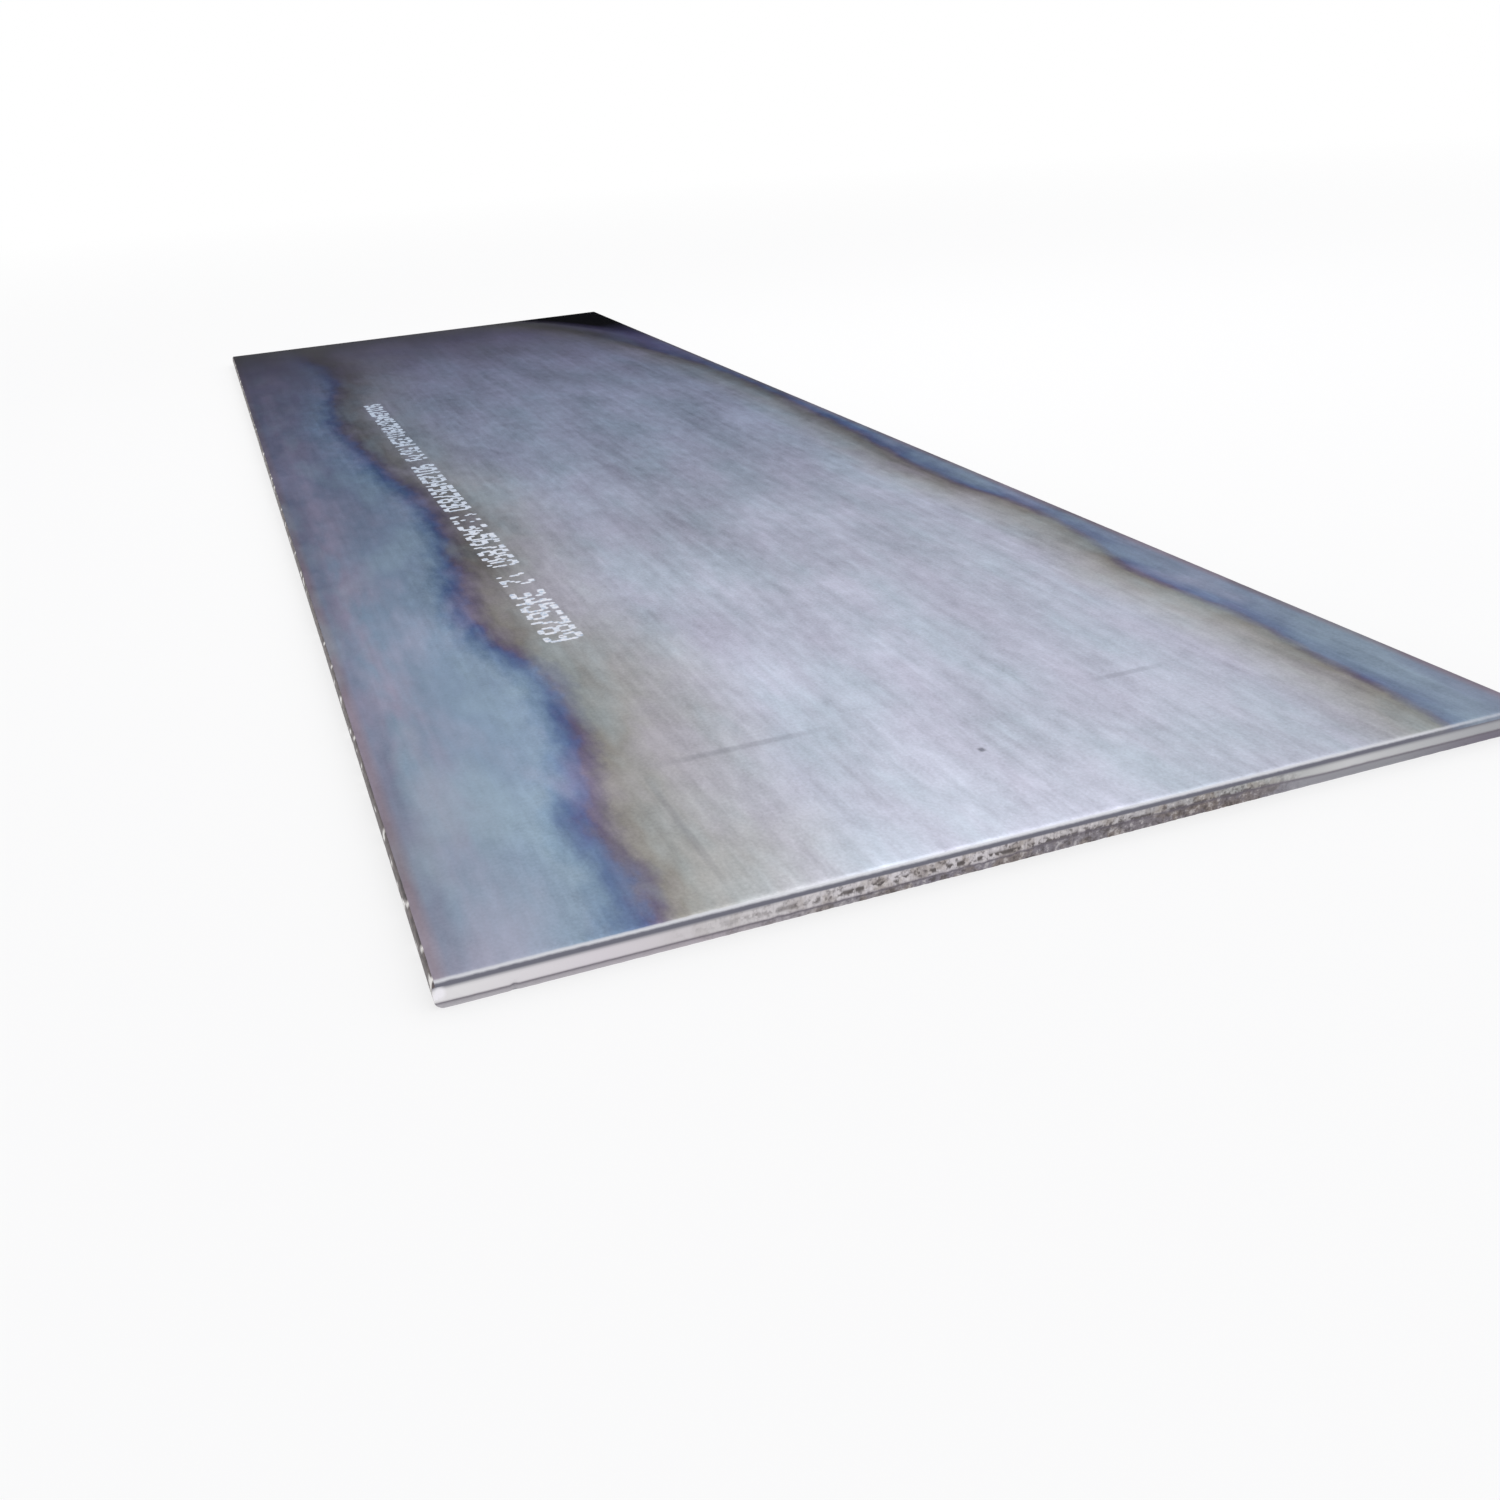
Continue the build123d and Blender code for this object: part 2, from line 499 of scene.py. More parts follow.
def build_plate_mesh(sizes):
    """The whole plate as one closed mesh, with relief on its ends, edges and faces."""
    shape = PlateShape(sizes)
    columns = len(shape.across_top) - 1
    rows = 2 * (len(shape.rolled) - 1)
    levels = len(LEVEL_SHARES) - 1
    bm = grid_block(columns, rows, levels)
    end_rows = ROLLOVER_STEPS + 2
    edge_columns = CORNER_STEPS + 1

    def at_end(a, b):
        return max(a.y, b.y) <= end_rows + 1e-3 or min(a.y, b.y) >= rows - end_rows - 1e-3

    def at_edge(a, b):
        coarse = min(a.y, b.y) >= end_rows - 1e-3 and max(a.y, b.y) <= rows - end_rows + 1e-3
        beside = max(a.x, b.x) <= edge_columns + 1e-3 or min(a.x, b.x) >= columns - edge_columns - 1e-3
        return coarse and beside

    divide_zone(bm, 0, END_COLUMNS, at_end)
    divide_zone(bm, 1, EDGE_ROWS, at_edge)
    layers = {name: bm.verts.layers.float.new(name) for name in MARKS}
    for face in bm.faces:
        middle = face.calc_center_median()
        if min(middle.y, rows - middle.y) < 1e-3:
            face.material_index = 1
        elif min(middle.x, columns - middle.x) < EDGE_CELLS:
            face.material_index = 2
    for vert in bm.verts:
        grid = [whole(c) for c in vert.co]
        place, marks = shape.point(*grid, columns, rows, levels)
        vert.co = place
        for name, value in marks.items():
            vert[layers[name]] = value
    return finish_mesh(bm, "steel_plate_surface")


# Materials

def add(tree, kind, inputs=None, **settings):
    """Add a node with its settings, and set or link its inputs.

    A node given as an input stands for its first output that is in use.
    """
    node = tree.nodes.new(kind)
    for name, value in settings.items():
        setattr(node, name, value)
    for name, value in (inputs or {}).items():
        if isinstance(value, bpy.types.Node):
            value = next(socket for socket in value.outputs if socket.enabled)
        if isinstance(value, bpy.types.NodeSocket):
            tree.links.new(value, node.inputs[name])
        else:
            node.inputs[name].default_value = value
    return node


def set_stops(ramp, stops):
    """Give a colour ramp its stops, each a position and a linear colour."""
    while len(ramp.elements) < len(stops):
        ramp.elements.new(0.5)
    for element, (position, colour) in zip(ramp.elements, stops):
        element.position = position
        element.color = colour


def new_material(name):
    """An empty material with its shader, ready for nodes."""
    material = bpy.data.materials.new(name)
    material.use_nodes = True
    tree = material.node_tree
    return material, tree, tree.nodes["Principled BSDF"]


def rgba(colour):
    """A property's colour with full alpha."""
    return (*colour[:3], 1.0)


def add_patterns(tree, place, patterns):
    """Noise patterns by name, each from its size in mm, stretch, detail, roughness and seed.

    A stretch draws the pattern out along the plate, as rolling does.
    """
    made = {}
    for name, (across, stretch, detail, rough, seed) in patterns.items():
        scale = 1 / (across * MM)
        spread = add(
            tree, "ShaderNodeMapping",
            {0: place, "Location": (seed, 2.3 * seed, 0.7 * seed), "Scale": (scale, scale / stretch, scale)},
        )
        made[name] = add(
            tree, "ShaderNodeTexNoise",
            {"Vector": spread, "Scale": 1.0, "Detail": detail, "Roughness": rough},
        )
    return made


# Distance of each tint line from its own mill edge, by distance from the near end, in metres
LEFT_LINE = (
    (0.0, 0.228), (0.14, 0.250), (0.24, 0.236), (0.45, 0.278), (0.8, 0.308), (1.15, 0.252),
    (1.5, 0.282), (2.1, 0.312), (2.5, 0.272), (3.2, 0.230), (4.3, 0.310), (4.6, 0.266), (5.0, 0.240),
)
RIGHT_LINE = (
    (0.0, 0.134), (0.2, 0.112), (0.5, 0.094), (0.8, 0.100), (1.0, 0.064), (1.3, 0.050),
    (1.55, 0.076), (1.9, 0.064), (2.3, 0.044), (3.2, 0.032), (3.9, 0.100), (4.3, 0.160), (4.7, 0.275),
    (5.0, 0.420),
)
# How much narrower the tints inside the right line are than those inside the left one
RIGHT_TINTS = 2.0
# How far the lines stray from those curves, in wide bays and in short threads
RAGGED_REACH = 0.060
FRAYED_REACH = 0.022
# Distances inside the nearest line between which the tints change
TINTS_FROM = -0.10
TINTS_TO = 0.40
# How strongly each pattern varies the scale's brightness, and the scale's mean level
CONTRASTS = (("cloud", 0.42), ("patch", 0.24), ("streak", 0.28), ("mottle", 0.32), ("grain", 0.32))
MEAN_LEVEL = 1.14
# The scale darkens towards the far end, partly thicker scale and mostly painted shade: tints over the rest,
# by metres from the near end
TAIL_TINTS_AND_SHADE = (
    (0.1, "#EFEFEE"), (0.55, "#F5F5F5"), (1.05, "#FFFFFF"), (1.55, "#F4F5F7"), (2.5, "#DDE5EE"),
    (3.2, "#CBD3E0"), (4.0, "#B1B4C7"), (4.6, "#7E7A90"), (5.0, "#423E4B"),
)
# Faint dark marks on the face: place, half width, half length and strength, in metres
FACE_MARKS = (
    (-0.245, -2.088, 0.150, 0.012, 0.24), (0.355, -2.122, 0.075, 0.010, 0.24),
    (-0.396, -2.280, 0.007, 0.200, 0.20), (0.037, -2.260, 0.006, 0.008, 0.75),
)
# The oxide loses its sheen at a low angle, as a rough dark skin does
LOW_SHEEN = (0.24, 0.24, 0.27, 1.0)


def add_line_distances(tree, axes, along, patterns):
    """Distances inside the nearest tint line and the right one, positive towards the middle."""
    insides = []
    for side, line in ((1, LEFT_LINE), (-1, RIGHT_LINE)):
        curve = add(tree, "ShaderNodeFloatCurve", {"Value": along})
        points = curve.mapping.curves[0].points
        for distance, inset in line[1:-1]:
            points.new(distance / (2 * HALF_LENGTH), inset)
        points[0].location = (0, line[0][1])
        points[-1].location = (1, line[-1][1])
        curve.mapping.update()
        from_edge = add(
            tree, "ShaderNodeMath", {0: axes.outputs["X"], 1: side, 2: HALF_WIDTH}, operation="MULTIPLY_ADD"
        )
        insides.append(add(tree, "ShaderNodeMath", {0: from_edge, 1: curve}, operation="SUBTRACT"))
    inside_left, inside_right = insides
    narrowed = add(tree, "ShaderNodeMath", {0: inside_right, 1: RIGHT_TINTS}, operation="MULTIPLY")
    inside_right = add(tree, "ShaderNodeMath", {0: inside_right, 1: narrowed}, operation="MAXIMUM")
    inside = add(tree, "ShaderNodeMath", {0: inside_left, 1: inside_right}, operation="MINIMUM")
    for name, reach in (("ragged", RAGGED_REACH), ("frayed", FRAYED_REACH)):
        inside = add(
            tree, "ShaderNodeMath", {0: patterns[name], 1: reach, 2: inside}, operation="MULTIPLY_ADD"
        )
    mean_reach = (RAGGED_REACH + FRAYED_REACH) / 2
    inside = add(tree, "ShaderNodeMath", {0: inside, 1: mean_reach}, operation="SUBTRACT")
    return inside, inside_right


def add_heat_tints(tree, inside, finish):
    """Heat tints across the line: pale band, blue, violet and straw, then thick grey scale.

    The colours without a name of their own lie between those that have one.
    """
    share = add(
        tree, "ShaderNodeMapRange", {"Value": inside, "From Min": TINTS_FROM, "From Max": TINTS_TO}
    )
    tints = add(tree, "ShaderNodeValToRGB", {0: share})
    stops = (
        (-0.10, rgba(finish.band)), (-0.055, rgba(finish.band)), (-0.030, linear("#7E93AE")),
        (-0.010, rgba(finish.blue)), (0.004, linear("#646C92")), (0.016, rgba(finish.violet)),
        (0.030, linear("#7B7680")), (0.050, rgba(finish.straw)), (0.085, linear("#A5A4A2")),
        (0.13, linear("#B2B2B3")), (0.20, linear("#BDBFC6")), (0.30, rgba(finish.centre)),
    )
    set_stops(tints.color_ramp, [
        ((distance - TINTS_FROM) / (TINTS_TO - TINTS_FROM), colour) for distance, colour in stops
    ])
    return tints


def add_later_layers(tree, along, inside, inside_right, in_band, finish):
    """Colours that bands and lines turn along the plate, each with where it shows, from 0 to 1."""
    past_right = add(
        tree, "ShaderNodeMapRange", {"Value": inside_right, "From Min": 0.03, "From Max": -0.03}
    )
    off_straw = add(tree, "ShaderNodeMath", {0: inside, 1: 0.055}, operation="SUBTRACT")
    off_straw = add(tree, "ShaderNodeMath", {0: off_straw}, operation="ABSOLUTE")
    on_straw = add(tree, "ShaderNodeMapRange", {"Value": off_straw, "From Min": 0.065, "From Max": 0.01})
    off_right = add(tree, "ShaderNodeMath", {0: inside_right}, operation="ABSOLUTE")
    on_right = add(tree, "ShaderNodeMapRange", {"Value": off_right, "From Min": 0.055, "From Max": 0.01})
    layers = []
    # Each colour starts and is full at these shares of the plate's length
    for where, start, full, strength, hue in (
        (in_band, 0.12, 0.02, 0.35, finish.early_band),
        (past_right, 0.46, 0.26, 0.68, finish.right_band),
        (on_straw, 0.14, 0.34, 0.5, finish.late_straw),
        (in_band, 0.26, 0.60, 0.65, finish.late_band),
        (past_right, 0.58, 0.80, 0.85, finish.far_band),
        (on_right, 0.70, 0.88, 0.8, finish.far_line),
    ):
        later = add(
            tree, "ShaderNodeMapRange",
            {"Value": along, "From Min": start, "From Max": full, "To Max": strength},
        )
        layers.append((add(tree, "ShaderNodeMath", {0: later, 1: where}, operation="MULTIPLY"), hue))
    return layers


def add_edge_layers(tree, axes, along, in_band, patterns, finish):
    """Mauve patches in the left band, and strips beside the mill edges, each with where it shows."""
    across = add(tree, "ShaderNodeMath", {0: axes.outputs["X"]}, operation="ABSOLUTE")
    from_side = add(tree, "ShaderNodeMath", {0: HALF_WIDTH, 1: across}, operation="SUBTRACT")
    from_left = add(tree, "ShaderNodeMath", {0: axes.outputs["X"], 1: HALF_WIDTH}, operation="ADD")
    patchy = add(
        tree, "ShaderNodeMapRange",
        {"Value": patterns["patch"], "From Min": 0.36, "From Max": 0.60, "To Max": 0.75},
    )
    mid_band = add(tree, "ShaderNodeMapRange", {"Value": from_left, "From Min": 0.16, "From Max": 0.08})
    settled = add(tree, "ShaderNodeMapRange", {"Value": along, "From Max": 0.16, "To Min": 0.45})
    for limit in (settled, in_band, mid_band):
        patchy = add(tree, "ShaderNodeMath", {0: patchy, 1: limit}, operation="MULTIPLY")
    layers = [(patchy, finish.mauve)]
    for hue, inset, strong_to, gone_at, strength in (
        (finish.strip, from_left, 0.034, 0.066, 0.55), (finish.shoulder, from_side, 0.011, 0.025, 0.8)
    ):
        beside = add(
            tree, "ShaderNodeMapRange",
            {"Value": inset, "From Min": strong_to, "From Max": gone_at, "To Min": strength, "To Max": 0.0},
        )
        layers.append((beside, hue))
    return layers


def add_clouds(tree, patterns, finish):
    """Faint teal and mauve clouds, each with where it shows."""
    layers = []
    for low, high, hue in ((0.50, 0.66, finish.teal_cloud), (0.50, 0.34, finish.mauve_cloud)):
        cloudy = add(
            tree, "ShaderNodeMapRange",
            {"Value": patterns["hue"], "From Min": low, "From Max": high, "To Max": 0.26},
        )
        layers.append((cloudy, hue))
    return layers


def add_level(tree, along, in_band, patterns):
    """Brightness of the scale: cloudy, streaked and grainy, and more so towards the far end."""
    variation = -sum(contrast for _, contrast in CONTRASTS) / 2
    for name, contrast in CONTRASTS:
        variation = add(
            tree, "ShaderNodeMath", {0: patterns[name], 1: contrast, 2: variation}, operation="MULTIPLY_ADD"
        )
    growth = add(
        tree, "ShaderNodeMapRange",
        {"Value": along, "From Min": 0.12, "From Max": 0.60, "To Min": 1.5, "To Max": 2.1},
    )
    calmer = add(tree, "ShaderNodeMapRange", {"Value": in_band, "To Min": 1.0, "To Max": 0.6})
    growth = add(tree, "ShaderNodeMath", {0: growth, 1: calmer}, operation="MULTIPLY")
    return add(tree, "ShaderNodeMath", {0: variation, 1: growth, 2: MEAN_LEVEL}, operation="MULTIPLY_ADD")


def add_face_marks(tree, axes, finish):
    """Faint marks that rollers and handling left, each with where it shows."""
    layers = []
    for x, y, half_across, half_along, strength in FACE_MARKS:
        nearness = strength
        for axis, middle, half in (("X", x, half_across), ("Y", y, half_along)):
            offset = add(
                tree, "ShaderNodeMath", {0: axes.outputs[axis], 1: middle}, operation="SUBTRACT"
            )
            offset = add(tree, "ShaderNodeMath", {0: offset}, operation="ABSOLUTE")
            close = add(
                tree, "ShaderNodeMapRange", {"Value": offset, "From Min": half, "From Max": 0.4 * half}
            )
            nearness = add(tree, "ShaderNodeMath", {0: close, 1: nearness}, operation="MULTIPLY")
        layers.append((nearness, finish.mark))
    return layers


def add_rollover(tree, axes, patterns, finish):
    """Where the rollover's finish shows, and its colour: a bright rim, partly rubbed scale and partly painted
    highlight, then a dark lip, partly cracked scale and partly painted shade.
    """
    rolled_over = add(tree, "ShaderNodeAttribute", attribute_name="rolled_over").outputs["Fac"]
    # The frayed pattern makes its edge wavy
    rolled_over = add(tree, "ShaderNodeMath", {0: rolled_over, 1: 0.07}, operation="SUBTRACT")
    wavy = add(
        tree, "ShaderNodeMath", {0: patterns["frayed"], 1: 0.14, 2: rolled_over}, operation="MULTIPLY_ADD"
    )
    rollover = add(tree, "ShaderNodeValToRGB", {0: wavy})
    rim_rub_and_highlight, lip = finish.rim_rub_and_highlight, finish.lip
    set_stops(rollover.color_ramp, (
        (0.30, (*rim_rub_and_highlight, 0.0)), (0.52, (*rim_rub_and_highlight, 0.8)), (0.68, (*rim_rub_and_highlight, 1.0)), (0.88, (*lip, 1.0)), (1.0, (*lip, 1.0))
    ))
    # The rim and lip, with their painted highlight and shade, fade out at the right edge
    kept = add(
        tree, "ShaderNodeMapRange",
        {"Value": axes.outputs["X"], "From Min": 0.56, "From Max": 0.66, "To Min": 1.0, "To Max": 0.45},
    )
    shown = add(tree, "ShaderNodeMath", {0: rollover.outputs["Alpha"], 1: kept}, operation="MULTIPLY")
    return shown, rollover.outputs["Color"]


def mill_scale(finish):
    """Mill scale, left as hot-rolled: a hard oxide skin, dull grey with a low metallic sheen.

    It is thinner along both sides, where it shows heat tints. It is darker towards the far end, partly
    thicker scale and mostly painted shade, and its far right corner is painted nearly black as a dark
    reflection.
    Along the rollover it has a bright rim, partly rubbed scale and partly painted highlight, then a dark lip,
    partly cracked scale and partly painted shade.
    """
    material, tree, shader = new_material("mill_scale_hot_rolled")
    place = add(tree, "ShaderNodeTexCoord").outputs["Object"]
    axes = add(tree, "ShaderNodeSeparateXYZ", {0: place})
    # The real grain is finer than 1 mm. It is drawn coarser, so that it shows.
    patterns = add_patterns(tree, place, {
        "ragged": (75, 1.7, 3.0, 0.55, 0.0),
        "frayed": (11, 2.6, 3.0, 0.65, 6.0),
        "cloud": (220, 2.4, 3.0, 0.55, 1.0),
        "streak": (15, 26.0, 3.0, 0.6, 2.0),
        "mottle": (22, 2.4, 3.0, 0.6, 5.0),
        "grain": (5, 1.3, 2.0, 0.7, 3.0),
        "patch": (55, 5.0, 3.0, 0.55, 4.0),
        "hue": (120, 3.6, 3.0, 0.6, 8.0),
        "sheen": (160, 1.5, 1.0, 0.5, 9.0),
    })
    along = add(
        tree, "ShaderNodeMapRange",
        {"Value": axes.outputs["Y"], "From Min": -HALF_LENGTH, "From Max": HALF_LENGTH},
    )
    inside, inside_right = add_line_distances(tree, axes, along, patterns)
    in_band = add(tree, "ShaderNodeMapRange", {"Value": inside, "From Min": -0.05, "From Max": -0.12})

    colour = add_heat_tints(tree, inside, finish)
    for where, hue in (
        *add_later_layers(tree, along, inside, inside_right, in_band, finish),
        *add_edge_layers(tree, axes, along, in_band, patterns, finish),
        *add_clouds(tree, patterns, finish),
    ):
        colour = add(tree, "ShaderNodeMix", {"Factor": where, 6: colour, 7: rgba(hue)}, data_type="RGBA")
    level = add_level(tree, along, in_band, patterns)
    colour = add(tree, "ShaderNodeVectorMath", {0: colour, "Scale": level}, operation="SCALE")
    # Painted shade: darker towards the far end, partly thicker scale
    tail_shade = add(tree, "ShaderNodeValToRGB", {0: along})
    set_stops(tail_shade.color_ramp, [(distance / (2 * HALF_LENGTH), linear(hue)) for distance, hue in TAIL_TINTS_AND_SHADE])
    colour = add(tree, "ShaderNodeVectorMath", {0: colour, 1: tail_shade}, operation="MULTIPLY")

    # The far right corner painted nearly black, a painted dark reflection, and dull too
    outside = add(
        tree, "ShaderNodeMapRange", {"Value": inside_right, "From Min": -0.06, "From Max": -0.135}
    )
    at_far_end = add(tree, "ShaderNodeMapRange", {"Value": along, "From Min": 0.82, "From Max": 0.92})
    painted_dark_corner = add(tree, "ShaderNodeMath", {0: outside, 1: at_far_end}, operation="MULTIPLY")
    for where, hue in ((painted_dark_corner, finish.corner), *add_face_marks(tree, axes, finish)):
        colour = add(tree, "ShaderNodeMix", {"Factor": where, 6: colour, 7: rgba(hue)}, data_type="RGBA")
    # The rollover's painted highlight and shade over the rest
    rolled, rollover_highlight_and_shade = add_rollover(tree, axes, patterns, finish)
    colour = add(tree, "ShaderNodeMix", {"Factor": rolled, 6: colour, 7: rollover_highlight_and_shade}, data_type="RGBA")
    tree.links.new(colour.outputs[2], shader.inputs["Base Color"])
    shader.inputs["Metallic"].default_value = 0.9
    # The painted dark corner loses its sheen too
    sheen = add(
        tree, "ShaderNodeMix", {"Factor": painted_dark_corner, 6: LOW_SHEEN, 7: rgba(finish.corner)}, data_type="RGBA"
    )
    tree.links.new(sheen.outputs[2], shader.inputs["Specular Tint"])
    rough = add(tree, "ShaderNodeMapRange", {"Value": patterns["sheen"], "To Min": 0.26, "To Max": 0.38})
    rough = add(tree, "ShaderNodeMath", {0: painted_dark_corner, 1: 0.5, 2: rough}, operation="MULTIPLY_ADD")
    tree.links.new(rough.outputs[0], shader.inputs["Roughness"])
    relief = add(
        tree, "ShaderNodeBump", {"Height": patterns["grain"], "Strength": 0.4, "Distance": 0.12 * MM}
    )
    tree.links.new(relief.outputs[0], shader.inputs["Normal"])
    return material


def mill_edge(finish):
    """Mill edge, rounded by the edging rolls and left as rolled: thick dark scale, dull and lumpy.

    Handling has nicked it. The nicks are near white, partly bare steel and partly painted glints.
    """
    material, tree, shader = new_material("mill_edge_as_rolled")
    place = add(tree, "ShaderNodeTexCoord").outputs["Object"]
    patterns = add_patterns(tree, place, {"lumps": (7, 3.0, 4.0, 0.6, 0.0)})
    scale = add(tree, "ShaderNodeValToRGB", {0: patterns["lumps"]})
    set_stops(scale.color_ramp, ((0.32, rgba(finish.hollow)), (0.70, rgba(finish.lump))))
    nick_glints = add(tree, "ShaderNodeAttribute", attribute_name="nick_glints").outputs["Fac"]
    colour = add(
        tree, "ShaderNodeMix", {"Factor": nick_glints, 6: scale, 7: rgba(finish.nick_glint)}, data_type="RGBA"
    )
    tree.links.new(colour.outputs[2], shader.inputs["Base Color"])
    shader.inputs["Metallic"].default_value = 0.6
    rough = add(tree, "ShaderNodeMapRange", {"Value": nick_glints, "To Min": 0.5, "To Max": 0.25})
    tree.links.new(rough.outputs[0], shader.inputs["Roughness"])
    relief = add(
        tree, "ShaderNodeBump", {"Height": patterns["lumps"], "Strength": 0.5, "Distance": 0.5 * MM}
    )
    tree.links.new(relief.outputs[0], shader.inputs["Normal"])
    return material


# Colours along the cut, by metres from the left edge: the land, and the torn steel below it
LAND_TINTS = (
    (0.03, "#E2E0E2"), (0.19, "#D9D3D9"), (0.32, "#CDC9CB"), (0.60, "#D2CDD2"), (0.77, "#C6C1C3"),
    (0.90, "#B6B3B6"), (0.97, "#A3A1A2"), (1.04, "#ADAEAD"), (1.19, "#CACACC"), (1.42, "#A8A9AD"),
)
TORN_TINTS = (
    (0.03, "#B9B6BB"), (0.31, "#BAB3BA"), (0.47, "#9E9AA0"), (0.60, "#938E98"), (0.82, "#8E898F"),
    (0.97, "#827B80"), (1.05, "#86828C"), (1.12, "#A1A0A7"), (1.27, "#9E9EA4"), (1.42, "#847F8B"),
)


def sheared_steel(finish):
    """Bare carbon steel, sheared: the land is burnished bright and scored upright by the blade.

    A soft dark line of painted shade marks the step where it began to tear, and below that it is dull and
    rough. Between its two smooth ends the land is picked up in dark ticks and stained. A dark band below the
    rollover is partly smeared scale and partly painted shade, and the nicks and the near left corner carry
    painted glints.
    """
    material, tree, shader = new_material("carbon_steel_sheared")
    place = add(tree, "ShaderNodeTexCoord").outputs["Object"]
    marks = {
        name: add(tree, "ShaderNodeAttribute", attribute_name=name).outputs["Fac"] for name in MARKS
    }
    axes = add(tree, "ShaderNodeSeparateXYZ", {0: place})
    upright = add(tree, "ShaderNodeMapping", {0: place, "Scale": (1.0, 0.0, 0.06)})
    slanted = add(
        tree, "ShaderNodeMapping", {0: place, "Rotation": (0.0, 0.4, 0.0), "Scale": (1.0, 0.0, 0.8)}
    )
    patterns = add_patterns(tree, place, {
        "grit": (3.5, 1.0, 4.0, 0.65, 0.0),
        "mottle": (8, 1.0, 3.0, 0.65, 5.0),
        "stain": (30, 1.0, 3.0, 0.6, 2.0),
    })
    patterns |= add_patterns(tree, upright.outputs[0], {"score": (3.0, 1.0, 3.0, 0.6, 0.0)})
    patterns |= add_patterns(tree, slanted.outputs[0], {"tick": (11.0, 1.0, 2.0, 0.55, 4.0)})

    from_left = add(tree, "ShaderNodeMath", {0: axes.outputs["X"], 1: HALF_WIDTH}, operation="ADD")
    share = add(tree, "ShaderNodeMath", {0: from_left, 1: 2 * HALF_WIDTH}, operation="DIVIDE")
    zones = []
    for tints in (LAND_TINTS, TORN_TINTS):
        zone = add(tree, "ShaderNodeValToRGB", {0: share})
        set_stops(zone.color_ramp, [(place_m / (2 * HALF_WIDTH), linear(hue)) for place_m, hue in tints])
        zones.append(zone)
    tearing = add(tree, "ShaderNodeMapRange", {"Value": marks["torn"], "From Min": 0.1, "From Max": 0.9})
    colour = add(
        tree, "ShaderNodeMix", {"Factor": tearing, 6: zones[0], 7: zones[1]}, data_type="RGBA"
    )

    # Rough between the two smooth ends of the cut: stain, scores, grit, and dark slanted ticks
    coming = add(
        tree, "ShaderNodeMapRange",
        {"Value": from_left, "From Min": ROUGH_FROM[0], "From Max": ROUGH_FROM[1]},
    )
    going = add(
        tree, "ShaderNodeMapRange",
        {"Value": from_left, "From Min": ROUGH_UNTIL[1], "From Max": ROUGH_UNTIL[0]},
    )
    rough_cut = add(tree, "ShaderNodeMath", {0: coming, 1: going}, operation="MULTIPLY")
    for pattern, low, high, strength, hue, where in (
        ("stain", 0.48, 0.60, 0.55, finish.stain, rough_cut),
        ("score", 0.48, 0.66, 0.35, finish.crack, rough_cut),
        ("mottle", 0.54, 0.66, 0.45, finish.bare, rough_cut),
        ("mottle", 0.48, 0.36, 0.75, finish.pit, rough_cut),
        ("tick", 0.47, 0.54, 0.95, finish.pit, marks["ticked"]),
    ):
        factor = add(
            tree, "ShaderNodeMapRange",
            {"Value": patterns[pattern], "From Min": low, "From Max": high, "To Max": strength},
        )
        factor = add(tree, "ShaderNodeMath", {0: factor, 1: where}, operation="MULTIPLY")
        colour = add(tree, "ShaderNodeMix", {"Factor": factor, 6: colour, 7: rgba(hue)}, data_type="RGBA")

    # Painted shade along the crack's step, the dark band below the rollover, partly smeared scale and partly
    # painted shade, and painted glints on the nicks and the near left corner
    for mark, full_at, strength, hue in (
        ("cracked", 1.0, 0.7, finish.crack), ("rolled_over", 0.9, 1.0, finish.lip),
        ("nick_glints", 0.8, 0.75, finish.glint),
    ):
        factor = add(
            tree, "ShaderNodeMapRange", {"Value": marks[mark], "From Max": full_at, "To Max": strength}
        )
        colour = add(tree, "ShaderNodeMix", {"Factor": factor, 6: colour, 7: rgba(hue)}, data_type="RGBA")
    tree.links.new(colour.outputs[2], shader.inputs["Base Color"])
    shader.inputs["Metallic"].default_value = 0.85
    rough = add(tree, "ShaderNodeMapRange", {"Value": marks["torn"], "To Min": 0.30, "To Max": 0.55})
    tree.links.new(rough.outputs[0], shader.inputs["Roughness"])
    relief = add(tree, "ShaderNodeMath", {0: patterns["score"], 1: patterns["grit"]}, operation="ADD")
    relief = add(tree, "ShaderNodeBump", {"Height": relief, "Strength": 0.4, "Distance": 0.3 * MM})
    tree.links.new(relief.outputs[0], shader.inputs["Normal"])
    return material


def marking_paint(sizes):
    """White marking paint, sprayed in dots on hot scale: matt, thin and a little worn."""
    material, tree, shader = new_material("marking_paint_sprayed")
    place = add(tree, "ShaderNodeTexCoord").outputs["Object"]
    patterns = add_patterns(tree, place, {"wear": (9, 1.0, 3.0, 0.6, 0.0)})
    worn = add(tree, "ShaderNodeMapRange", {"Value": patterns["wear"], "From Min": 0.45, "From Max": 0.65})
    axes = add(tree, "ShaderNodeSeparateXYZ", {0: place})
    thinner = add(
        tree, "ShaderNodeMapRange",
        {"Value": axes.outputs["Y"], "From Min": -1.3, "From Max": 0.2, "To Max": 0.9},
    )
    worn = add(tree, "ShaderNodeMath", {0: worn, 1: thinner}, operation="MAXIMUM")
    colour = add(
        tree, "ShaderNodeMix", {"Factor": worn, 6: rgba(sizes.paint), 7: rgba(sizes.thin_paint)},
        data_type="RGBA",
    )
    tree.links.new(colour.outputs[2], shader.inputs["Base Color"])
    shader.inputs["Roughness"].default_value = 0.7
    return material


# Marking

